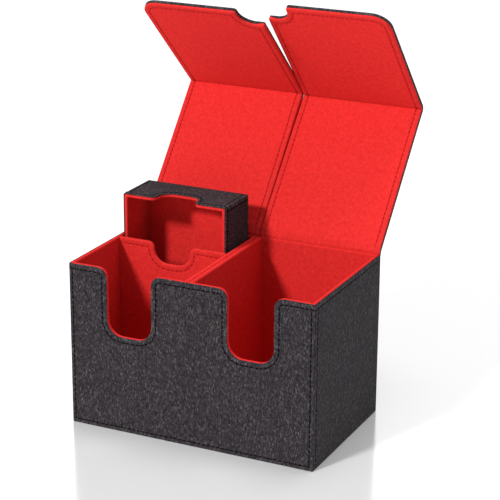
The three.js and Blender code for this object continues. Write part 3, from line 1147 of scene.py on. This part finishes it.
def lid_cover_rings():
    skin = -1 + COVER_LAYER
    depth = GROOVE / LID_HALF
    groove = [(inset, -layer) for inset, layer in groove_rings(LID_STITCH_INSET, 1.0, depth)]
    roll = [(inset, -layer) for inset, layer in quarter(0.5, 0.7, 0.5, 0.3, 0, 90, 5)]
    lip = [(0.0, -0.62), (0.06, -0.53), (0.2, -0.48), (0.4, -0.48), (0.58, -0.52)]
    back = [(CLOTH, -0.57), (0.9, skin), (LID_INNERMOST, skin)]
    return [(LID_INNERMOST, -1.0)] + groove + [(1.7, -1.02)] + roll + lip + back


def lid_lining_rings():
    under = 1 - COVER_LAYER
    depth = GROOVE / LID_HALF
    groove = groove_rings(LID_STITCH_INSET, 1.0, depth)
    roll = quarter(1.0, 0.55, 0.9, 0.45, 0, 90, 5)
    tuck = [(0.1, 0.36), (0.1, -0.28), (0.16, -0.38), (0.35, -0.44), (0.75, -0.44), (0.75, 0.5)]
    tuck += [(1.0, under), (LID_INNERMOST, under)]
    return [(LID_INNERMOST, 1.0)] + groove + [(1.7, 1.0)] + roll + tuck


def free_edge_lift(rings):
    """Moves the lip where cover and lining meet towards the lining, except beside the gap."""

    def straighten(index, x, y, layer):
        if LIP_LOW <= layer <= LIP_HIGH and rings[index][0] <= LIP_INSET:
            return (x, y, layer + FREE_EDGE_LIFT * smooth((x - 1.5) / 2.0))
        return (x, y, layer)

    return straighten


def flap_outline(lid):
    inner = LID_GAP / 2
    low = lid.end - FLAP_CUT["depth"]
    return Outline([
        (inner, lid.seam - MARGIN, 0), (HALF_WIDTH, lid.seam - MARGIN, 0),
        (HALF_WIDTH, lid.end, FLAP_CORNER),
        (FLAP_CUT["half"], lid.end, FLAP_CUT["top"]),
        (FLAP_CUT["half"], low, FLAP_CUT["bottom"]),
        (inner, low, 0.8)])


def lid_piece(lid, name, outline, rings, start, end, levels, slot):
    """One layer of a panel or a flap, cut at start and at end unless that is its free edge."""
    bm = flat_cloth(outline, rings, LID_STITCH_INSET, free_edge_lift(rings))
    score(bm, 1, levels)
    slice_cloth(bm, 1, start, drop_below=True)
    cap_end(bm, start)
    if end is not None:
        slice_cloth(bm, 1, end, drop_above=True)
        cap_end(bm, end)
    place(bm, lid.lay)
    piece = make_object(name, bm, slot)
    even_shading(piece)
    return piece


def at_axis(point, way, distance):
    """A point at a distance from a lid's joint, in metres."""
    spot = (point + way * distance) * MM
    return (0, spot.x, spot.y)


def build_lid(side, sign):
    """The cover, the lining and the stitches of one lid's panel and flap."""
    lid = Lid(side, sign)
    up = Vector((0, 1))
    hinge_way = (up + lid.panel_way).normalized()
    fold_way = (lid.panel_way + lid.flap_way).normalized()
    hinge_zone = [at_axis(lid.hinge, hinge_way, d) for d in (-HINGE_ZONE, HINGE_ZONE)]
    fold_zone = [at_axis(lid.fold, fold_way, d) for d in (-FOLD_ZONE, FOLD_ZONE)]
    fold_levels = [lid.length + level for level in FOLD_LEVELS]
    panel = rectangle(LID_GAP / 2, COVER_START - MARGIN, HALF_WIDTH, lid.seam + MARGIN)
    flap = flap_outline(lid)
    layers = [
        ("cover", lid_cover_rings(), COVER_START, "cover_cloth"),
        ("suede", lid_lining_rings(), LINING_START, "suede_lining"),
    ]
    for layer_name, rings, start, slot in layers:
        on_panel = lid_piece(
            lid, f"{side}_panel_{layer_name}_cloth", panel, rings, start, lid.seam,
            HINGE_LEVELS, slot)
        on_flap = lid_piece(
            lid, f"{side}_flap_{layer_name}_cloth", flap, rings, lid.seam, None,
            fold_levels, slot)
        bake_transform(on_panel, "box", f"{side}_panel", *hinge_zone)
        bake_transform(on_flap, f"{side}_panel", f"{side}_flap", *fold_zone)
        if layer_name == "cover":
            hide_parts(f"{side}_panel_cover", f"{side}_hinge_cloth")
            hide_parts(f"{side}_flap_cover", f"{side}_fold_cloth")
        else:
            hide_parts(f"{side}_panel_lining")
            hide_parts(f"{side}_flap_lining")

    row_in = LID_GAP / 2 + LID_STITCH_INSET
    row_out = HALF_WIDTH - LID_STITCH_INSET
    panel_rows = [[(x, 4.5), (x, lid.seam)] for x in (row_in, row_out)]
    round_flap = part_of_loop(flap.loop(LID_STITCH_INSET), lambda x, y: y > lid.seam + 1)
    flap_row = [(row_out, lid.seam)] + round_flap + [(row_in, lid.seam)]
    depth = GROOVE / LID_HALF
    threads = [
        ("cover", "cover_thread", lambda s: -1 + depth - s),
        ("suede", "lining_thread", lambda s: 1 - depth + s),
    ]
    for layer_name, slot, layer in threads:
        on_panel = stitched(
            f"{side}_panel_{layer_name}_stitches", panel_rows, lid.lay, layer, slot)
        on_flap = stitched(
            f"{side}_flap_{layer_name}_stitches", [flap_row], lid.lay, layer, slot)
        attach(on_panel, f"{side}_panel")
        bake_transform(on_flap, f"{side}_panel", f"{side}_flap", *fold_zone)


# ---- the object

box_cover()
bay_lining("left", -INNER_X, DIVIDER_LEFT, divider_right=True)
bay_lining("right", DIVIDER_RIGHT, INNER_X, divider_right=False)
partition()
tray()
build_lid("left", -1)
build_lid("right", 1)

for name, node in frame["nodes"].items():
    if "magnet" in name:
        node.data.materials.clear()
        node.data.materials.append(LOOKS["magnet"])
    elif name.endswith("board"):
        node.data.materials.clear()
        node.data.materials.append(LOOKS["greyboard"])

# ---- floors of the bays


def floor_suede(side):
    """A sheet of suede on a bay's floor, its edges turned down against the walls."""
    low, high = node_box(f"{side}_bay_floor_lining")
    outline = rectangle(low.x, low.y, high.x, high.y, 0.5)
    rings = [(4.0, high.z), (1.2, high.z)] + quarter(0.8, high.z - 0.25, 0.8, 0.25, 0, 90, 3)
    bm = flat_cloth(outline, rings + [(0.0, low.z), (4.0, low.z)])
    place(bm, lambda x, y, layer: (x, y, layer))
    piece = make_object(f"{side}_bay_floor_suede", bm, "suede_lining")
    even_shading(piece)
    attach(piece, "box")
    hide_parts(f"{side}_bay_floor_lining")


floor_suede("left")
floor_suede("right")

# ---- floor, light and camera

FLOOR_REACH = 6.0
KEY_WAY = (0.42, 1.0, -0.8)
KEY_SOFTNESS = 8
KEY_POWER = 3.1
FILL_PLACE = (0.2, 0.3, 2.2)
FILL_TARGET = (0, 0, 0.1)
FILL_SIZE = 1.0
FILL_POWER = 26
ROOM_LIGHT = 0.4


def make_floor():
    mesh = bpy.data.meshes.new("floor")
    far = FLOOR_REACH
    corners = [(-far, -far, 0), (far, -far, 0), (far, far, 0), (-far, far, 0)]
    mesh.from_pydata(corners, [], [(0, 1, 2, 3)])
    mesh.materials.append(new_material("floor").surface({
        "Base Color": (0.96, 0.96, 0.96, 1),
        "Roughness": 0.14,
        "Metallic": 0.45,
        "Emission Color": (1, 1, 1, 1),
        "Emission Strength": 0.08,
    }))
    floor = bpy.data.objects.new("floor", mesh)
    bpy.context.scene.collection.objects.link(floor)


def add_lamp(light, power, place_at, target):
    light.energy = power
    lamp = bpy.data.objects.new(light.name, light)
    bpy.context.scene.collection.objects.link(lamp)
    lamp.location = place_at
    lamp.rotation_mode = "QUATERNION"
    lamp.rotation_quaternion = (Vector(target) - Vector(place_at)).to_track_quat("-Z", "Y")


def make_lights():
    """A soft sun from the front left, and a lamp above."""
    key = bpy.data.lights.new("key", "SUN")
    key.angle = math.radians(KEY_SOFTNESS)
    add_lamp(key, KEY_POWER, -Vector(KEY_WAY), (0, 0, 0))
    fill = bpy.data.lights.new("fill", "AREA")
    fill.shape = "SQUARE"
    fill.size = FILL_SIZE
    add_lamp(fill, FILL_POWER, FILL_PLACE, FILL_TARGET)


def make_world():
    """A white room, which lights the object less brightly than it looks."""
    graph = Graph(bpy.data.worlds.new("studio"), "Background")
    diffuse = graph.nodes.new("ShaderNodeLightPath").outputs["Is Diffuse Ray"]
    bpy.context.scene.world = graph.surface({
        "Color": (1.0, 1.0, 1.0, 1),
        "Strength": graph.math("MULTIPLY_ADD", diffuse, ROOM_LIGHT - 1.0, 1.0),
    })


# The camera stands in front of the box, to its right and above it, a little rolled.
CAMERA_PLACE = (0.444961, -0.896849, 0.447382)
CAMERA_AZIMUTH = 25.592
CAMERA_ELEVATION = 18.871
CAMERA_ROLL = 0.369
CAMERA_LENS = 131.1
SENSOR = 36.0


def make_camera():
    azimuth = math.radians(CAMERA_AZIMUTH)
    elevation = math.radians(CAMERA_ELEVATION)
    roll = math.radians(CAMERA_ROLL)
    back = Vector((
        math.sin(azimuth) * math.cos(elevation),
        -math.cos(azimuth) * math.cos(elevation),
        math.sin(elevation)))
    level = Vector((math.cos(azimuth), math.sin(azimuth), 0))
    upright = back.cross(level)
    right = level * math.cos(roll) + upright * math.sin(roll)
    up = upright * math.cos(roll) - level * math.sin(roll)
    turn = Matrix((right, up, back)).transposed()
    data = bpy.data.cameras.new("camera")
    data.lens = CAMERA_LENS
    data.sensor_width = SENSOR
    camera = bpy.data.objects.new("camera", data)
    camera.matrix_world = Matrix.Translation(CAMERA_PLACE) @ turn.to_4x4()
    bpy.context.scene.collection.objects.link(camera)
    bpy.context.scene.camera = camera


make_floor()
make_lights()
make_world()
make_camera()
bpy.context.scene.view_settings.view_transform = "Standard"
